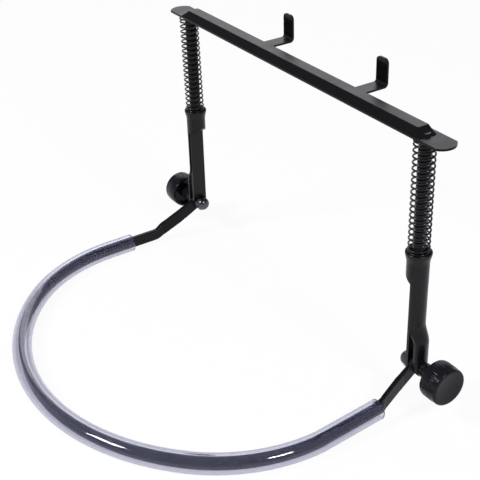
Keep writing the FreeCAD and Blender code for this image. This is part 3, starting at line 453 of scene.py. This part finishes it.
arm_coat = fine_coat("arm_coat", (0.003, 0.003, 0.004), (0.006, 0.006, 0.008), roughness=0.3,
                     spread=0.05, grain=0.45 * mm, relief=0.04, specular=0.22)
for side, label in ((-1, "left"), (1, "right")):
    bell = turned_shape(bell_line)
    bmesh.ops.recalc_face_normals(bell, faces=bell.faces)
    bmesh.ops.translate(bell, verts=bell.verts, vec=(side * half_spacing, pivot_y, pivot_z))
    # the inner wall is pressed in along a slope that runs out into the leg
    cut_off(bell, (side * half_spacing, pivot_y, pivot_z + press_foot),
            (-side * (press_top - press_foot), 0, -tube_radius))
    bm = merged_copy(label + "_arm")
    cut_off(bm, (0, 0, pivot_z + tube_foot - 0.2 * mm), (0, 0, 1))
    for ring_height in bend_rings:
        bmesh.ops.bisect_plane(bm, geom=bm.verts[:] + bm.edges[:] + bm.faces[:], dist=1e-6,
                               plane_co=(0, 0, pivot_z + ring_height), plane_no=(0, 0, 1))
    for v in bm.verts:
        # the outer wall is pressed a little narrower than the tube, and lies close to the leg
        outward = side * v.co.x - half_spacing
        height = v.co.z - pivot_z
        was_in = held((height - solid_start) / solid_high)
        soft = held((height - joggle_start) / joggle_high)
        now_in = soft * soft * (3 - 2 * soft)
        inner_flat = flat_out + joggle_out * (1 - was_in)
        if height > outer_foot and outward > outer_from:
            moved = outward + joggle_out * (was_in - now_in)
            if abs(outward - inner_flat) < flat_play:
                moved -= flat_in * now_in
            else:
                moved *= 1 - less_deep * now_in
            v.co.x = side * (half_spacing + moved)
            v.co.y = pivot_y + (v.co.y - pivot_y) * (1 - less_wide * now_in)
        if height > wall_top:
            # both walls end just inside the slope
            v.co.z += max(wall_least, wall_raise - press_slope * outward)
        fade = min((height - fade_foot) / fade_low, (fade_top - height) / fade_high)
        v.co.z -= lowered * held(fade)
    take_in(bm, bell)
    arm = finish_piece(label + "_belled_arm", bm, arm_coat, "frame",
                       [label + "_arm"])
    round_edges(arm, 0.22 * mm, segments=2, angle=40)

# The rods: ground steel, blacked, pressed into the arms and fixed to the rail. They keep their
# solids and take a smooth black finish with a slight grain.
rod_coat = fine_coat("rod_coat", (0.004, 0.004, 0.006), (0.008, 0.008, 0.01), roughness=0.24,
                     spread=0.04, grain=0.35 * mm, relief=0.05, specular=0.22)
for label in ("left", "right"):
    rod = frame["nodes"][label + "_rod"]
    rod.data.materials.clear()
    rod.data.materials.append(rod_coat)

# The springs: round blackened wire, wound with closed turns in the arm's mouth, open turns above
# and a closed turn under the strip. Each leans a little on its rod, as in the photograph.
wire_radius, coil_radius = 0.5 * mm, 5.2 * mm
spring_foot, spring_head = 61.5 * mm, 126.3 * mm
round_wire, steps_each_turn = 12, 30
# runs of turns from the foot up, each with its pitch in mm
turn_runs = [(4, 1.12), (1, 1.8), (18, 3.11), (1, 1.5)]
spring_coat = fine_coat("spring_coat", (0.003, 0.003, 0.004), (0.006, 0.006, 0.007),
                        roughness=0.14, spread=0.03, grain=0.2 * mm, relief=0.03, specular=0.3)
for side, label, lean_foot, lean_head in ((-1, "left", 0.05 * mm, 1.1 * mm),
                                          (1, "right", 0.1 * mm, 0.3 * mm)):
    bm = bmesh.new()
    wire = bmesh.ops.create_circle(bm, segments=round_wire, radius=wire_radius)["verts"]
    bmesh.ops.rotate(bm, verts=wire, cent=(0, 0, 0), matrix=Matrix.Rotation(math.pi / 2, 3, "X"))
    bmesh.ops.translate(bm, verts=wire, vec=(coil_radius, 0, spring_foot + wire_radius))
    ring = list(bm.edges)
    for turns, pitch in turn_runs:
        steps = turns * steps_each_turn
        ring = run_round(bm, ring, (0, 0, 0), up, 2 * math.pi * turns, steps,
                         (0, 0, pitch * mm / steps_each_turn))
    bmesh.ops.holes_fill(bm, edges=[e for e in bm.edges if e.is_boundary], sides=0)
    bmesh.ops.recalc_face_normals(bm, faces=bm.faces)
    lean = Matrix.Identity(4)
    toward = -rightward * (lean_head - lean_foot) / (spring_head - spring_foot)
    lean[0][2], lean[1][2] = toward.x, toward.y
    bmesh.ops.translate(bm, verts=bm.verts, vec=(0, 0, -spring_foot))
    bmesh.ops.transform(bm, matrix=lean, verts=bm.verts)
    foot = Vector((side * half_spacing, pivot_y, pivot_z + spring_foot)) - rightward * lean_foot
    bmesh.ops.translate(bm, verts=bm.verts, vec=foot)
    spring = finish_piece(label + "_coil", bm, spring_coat, "frame",
                          [label + "_spring"])
    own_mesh(spring)

# The lower jaw: a flat blanked strip with a rounded finger tab past each rod, and a hole for each
# rod to slide in. Gloss black enamel over steel, dulled on its flats by handling.
jaw_coat = fine_coat("jaw_coat", (0.002, 0.002, 0.003), (0.004, 0.004, 0.005), roughness=0.1,
                     spread=0.02, grain=0.6 * mm, relief=0.008, specular=0.5)
tree = jaw_coat.node_tree
where = tree.nodes.new("ShaderNodeTexCoord")
split = tree.nodes.new("ShaderNodeSeparateXYZ")
handled = tree.nodes.new("ShaderNodeMapRange")
handled.inputs["From Min"].default_value = 0.93
handled.inputs["From Max"].default_value = 0.99
handled.inputs["To Max"].default_value = 0.3
dulled = tree.nodes.new("ShaderNodeMath")
paint = tree.nodes["Principled BSDF"]
tree.links.new(where.outputs["Normal"], split.inputs[0])
tree.links.new(split.outputs["Z"], handled.inputs["Value"])
tree.links.new(handled.outputs[0], dulled.inputs[0])
tree.links.new(paint.inputs["Roughness"].links[0].from_socket, dulled.inputs[1])
tree.links.new(dulled.outputs[0], paint.inputs["Roughness"])
# sheared edges and steep walls took a thinner, duller coat
thin = tree.nodes.new("ShaderNodeMapRange")
thin.inputs["From Min"].default_value = 0.1
thin.inputs["From Max"].default_value = 0.6
thin.inputs["To Min"].default_value = 0.12
thin.inputs["To Max"].default_value = 0.5
tree.links.new(split.outputs["Z"], thin.inputs["Value"])
tree.links.new(thin.outputs[0], paint.inputs["Specular IOR Level"])
strip = finish_piece("sliding_strip", merged_copy("lower_jaw"), jaw_coat, "jaw",
                     ["lower_jaw"])
round_edges(strip, 0.25 * mm, angle=50)

# The upper jaw: thin sheet pressed to a shallow tray, open below, with sloping ends and walls and
# rounded bends. Its two prongs are tongues of the same sheet, bent up behind. Gloss black enamel.
rail_level, tray_rise, sheet_thick = pivot_z + 127.6 * mm, 3.6 * mm, 1.1 * mm
rail_middle = pivot_y + 0.6 * mm
# the flat top, the knee in the walls and their foot: half length, depths and corner radius
web_half, web_deep, web_corner = 102.6 * mm, 3.5 * mm, 1.3 * mm
knee_half, knee_front, knee_back, knee_corner = 104.6 * mm, 4.6 * mm, 4.1 * mm, 2.3 * mm
foot_half, foot_front, foot_back, foot_corner = 107.9 * mm, 6.6 * mm, 5.4 * mm, 3.4 * mm
knee_drop, fold_round = 1.5 * mm, 0.55 * mm
prong_places, prong_root = (-27.8 * mm, 52.3 * mm), 0.6 * mm
prong_width, prong_height, prong_bend = 8.4 * mm, 13.8 * mm, 2.4 * mm
prong_back, prong_corner_share = pivot_y + 17.9 * mm, 0.3
bm = bmesh.new()
bmesh.ops.create_grid(bm, x_segments=1, y_segments=1, size=1)
bmesh.ops.scale(bm, vec=(web_half, web_deep, 1), verts=bm.verts)
bmesh.ops.bevel(bm, geom=bm.verts[:], offset=web_corner, offset_type="OFFSET", segments=8,
                profile=0.5, affect="VERTICES", clamp_overlap=True, material=-1)
# the walls drop steeply from the fold to a knee and then flare to the foot
was_half, was_front, was_back, was_corner = web_half, web_deep, web_deep, web_corner
rims = [(knee_half, knee_front, knee_back, knee_corner, -knee_drop),
        (foot_half, foot_front, foot_back, foot_corner, -tray_rise)]
ring = [e for e in bm.edges if e.is_boundary]
for half, front, back, corner_radius, level in rims:
    grown = bmesh.ops.extrude_edge_only(bm, edges=ring)["geom"]
    rim = [g for g in grown if isinstance(g, bmesh.types.BMVert)]
    ring = [g for g in grown if isinstance(g, bmesh.types.BMEdge) and g.is_boundary]
    wider = corner_radius / was_corner
    for sx in (-1, 1):
        for sy, deep, was_deep in ((-1, front, was_front), (1, back, was_back)):
            # each rounded corner is brought to the middle, widened and set down in its new place
            corner = [v for v in rim if v.co.x * sx > 0 and v.co.y * sy > 0]
            bmesh.ops.translate(bm, verts=corner, vec=(-sx * (was_half - was_corner),
                                                       -sy * (was_deep - was_corner), 0))
            bmesh.ops.scale(bm, verts=corner, vec=(wider, wider, 1))
            for v in corner:
                v.co.z = level
            bmesh.ops.translate(bm, verts=corner, vec=(sx * (half - corner_radius),
                                                       sy * (deep - corner_radius), 0))
    was_half, was_front, was_back, was_corner = half, front, back, corner_radius
folds = [e for e in bm.edges if len(e.link_faces) == 2
         and all(abs(v.co.z) < 1e-6 for v in e.verts)]
bmesh.ops.bevel(bm, geom=folds, offset=fold_round, offset_type="OFFSET", segments=4, profile=0.5,
                affect="EDGES", clamp_overlap=True, material=-1)
bmesh.ops.translate(bm, verts=bm.verts, vec=(0, rail_middle, rail_level + tray_rise))
for middle in prong_places:
    tongue = bmesh.new()
    first = [tongue.verts.new((middle + hand * prong_width / 2,
                               rail_middle + web_deep - prong_root,
                               rail_level + tray_rise)) for hand in (-1, 1)]
    ring = [tongue.edges.new(first)]
    bend_radius = prong_bend - sheet_thick
    flat_end = prong_back - prong_bend
    ring = run_straight(tongue, ring, (0, flat_end - first[0].co.y, 0))
    ring = run_round(tongue, ring, (middle, flat_end, rail_level + tray_rise + bend_radius),
                     (1, 0, 0), math.pi / 2, 8)
    ring = run_straight(tongue, ring, (0, 0, prong_height - bend_radius))
    bmesh.ops.bevel(tongue, geom=ring_verts(ring), offset=prong_width * prong_corner_share,
                    offset_type="OFFSET", segments=7, profile=0.5, affect="VERTICES",
                    clamp_overlap=True, material=-1)
    tongue.normal_update()
    # its flat has to face up, as the tray's does, so that both take their gauge downward
    if max(tongue.faces, key=lambda f: abs(f.normal.z)).normal.z < 0:
        bmesh.ops.reverse_faces(tongue, faces=tongue.faces)
    take_in(bm, tongue)
tray = finish_piece("pressed_rail", bm, jaw_coat, "frame", ["upper_jaw"],
                    crease=50)
gauge = tray.modifiers.new("sheet_gauge", "SOLIDIFY")
gauge.thickness = sheet_thick
gauge.offset = -1
gauge.use_even_offset = True
round_edges(tray, 0.2 * mm, angle=60)

# The pivot screws and washers: plated steel, turned and stamped. They keep their solids and take
# a dark plated finish with a fine grain.


def bright_metal(name, dark, light, roughness, spread, grain):
    # plated metal: a fine grain in its gloss and tone
    material = fine_coat(name, dark, light, roughness, spread, grain, relief=0.06, specular=0.5)
    material.node_tree.nodes["Principled BSDF"].inputs["Metallic"].default_value = 1.0
    return material


screw_metal = bright_metal("screw_metal", (0.05, 0.05, 0.055), (0.08, 0.08, 0.085),
                           roughness=0.2, spread=0.05, grain=0.25 * mm)
for label in ("left", "right"):
    for kind in ("_pivot_screw", "_washer"):
        small = frame["nodes"][label + kind]
        small.data.materials.clear()
        small.data.materials.append(screw_metal)

# The cap nuts: a hexagon with chamfered corners under a polished dome, on the inner side of each
# leg. Black nickel plate over brass, bright enough to show the soft boxes.
nut_flats, nut_seat, nut_thick, nut_chamfer = 8.2 * mm, 0.8 * mm, 2.5 * mm, 0.22 * mm
# (radius, height) in mm, from the dome's top to its foot inside the hexagon
dome_line = [(0.0, 6.9), (0.7, 6.84), (1.4, 6.66), (2.1, 6.36), (2.8, 5.9), (3.4, 5.28),
             (3.82, 4.6), (4.06, 3.98), (4.12, 3.6), (4.12, 3.3), (3.9, 3.1), (3.9, 2.0)]
nickel = bright_metal("black_nickel_plate", (0.08, 0.08, 0.09), (0.10, 0.10, 0.115),
                      roughness=0.27, spread=0.04, grain=0.3 * mm)
for side, label in ((-1, "left"), (1, "right")):
    bm = turned_shape(dome_line, steps=40)
    bmesh.ops.recalc_face_normals(bm, faces=bm.faces)
    hexagon = bmesh.new()
    bmesh.ops.create_cone(hexagon, cap_ends=True, cap_tris=False, segments=6,
                          radius1=nut_flats / math.sqrt(3), radius2=nut_flats / math.sqrt(3),
                          depth=nut_thick)
    bmesh.ops.translate(hexagon, verts=hexagon.verts, vec=(0, 0, nut_seat + nut_thick / 2))
    bmesh.ops.bevel(hexagon, geom=hexagon.edges[:], offset=nut_chamfer, offset_type="OFFSET",
                    segments=3, profile=0.5, affect="EDGES", clamp_overlap=True, material=-1)
    take_in(bm, hexagon)
    # the line was drawn upright, and points to the middle of the holder
    bmesh.ops.rotate(bm, verts=bm.verts, cent=(0, 0, 0),
                     matrix=Matrix.Rotation(-side * math.pi / 2, 3, "Y"))
    bmesh.ops.translate(bm, verts=bm.verts, vec=(side * half_spacing, pivot_y, pivot_z))
    finish_piece(label + "_domed_nut", bm, nickel, "frame", [label + "_cap_nut"])

# The thumb knobs: moulded black plastic, hollow behind round a tapering hub, with a fine grip of
# ribs round the side, a rounded rim and a shallow dished face. The screw is moulded in.
grip_low, grip_high, grip_inside = 18.3 * mm, 24.9 * mm, 9.9 * mm
rib_inset, rib_rise = 0.2 * mm, 0.16 * mm
# (radius, height) in mm, from the hub's end round the hollow and over the rim to the face
knob_line = [(2.05, 9.0), (3.75, 9.0), (4.0, 9.25), (4.5, 20.2), (8.1, 20.2), (8.7, 17.2),
             (8.9, 17.0), (9.6, 17.0), (10.05, 17.2), (10.25, 17.7), (10.25, 18.3), (10.25, 24.9),
             (10.25, 26.9), (10.2, 27.3), (10.04, 27.7), (9.76, 27.98), (9.4, 28.13), (9.0, 28.2),
             (8.5, 28.16), (7.0, 28.0), (5.0, 27.8), (3.0, 27.66), (1.2, 27.58), (0.0, 27.55)]
knob_plastic = fine_coat("knob_plastic_black", (0.007, 0.007, 0.009), (0.010, 0.010, 0.013),
                         roughness=0.15, spread=0.03, grain=0.3 * mm, relief=0.03, specular=0.13)
for side, label in ((-1, "left"), (1, "right")):
    bm = turned_shape(knob_line, steps=96)
    bmesh.ops.recalc_face_normals(bm, faces=bm.faces)
    grip = [f for f in bm.faces if grip_low < f.calc_center_median().z < grip_high
            and f.calc_center_median().xy.length > grip_inside]
    grip.sort(key=lambda f: math.atan2(f.calc_center_median().y, f.calc_center_median().x))
    # every other face of the grip stands out as a rib
    bmesh.ops.inset_individual(bm, faces=grip[::2], thickness=rib_inset, depth=rib_rise,
                               use_even_offset=True)
    bmesh.ops.rotate(bm, verts=bm.verts, cent=(0, 0, 0),
                     matrix=Matrix.Rotation(side * math.pi / 2, 3, "Y"))
    bmesh.ops.translate(bm, verts=bm.verts, vec=(side * half_spacing, pivot_y, pivot_z))
    finish_piece(label + "_thumb_knob", bm, knob_plastic, "knob_" + label,
                 [label + "_knob"], crease=40)
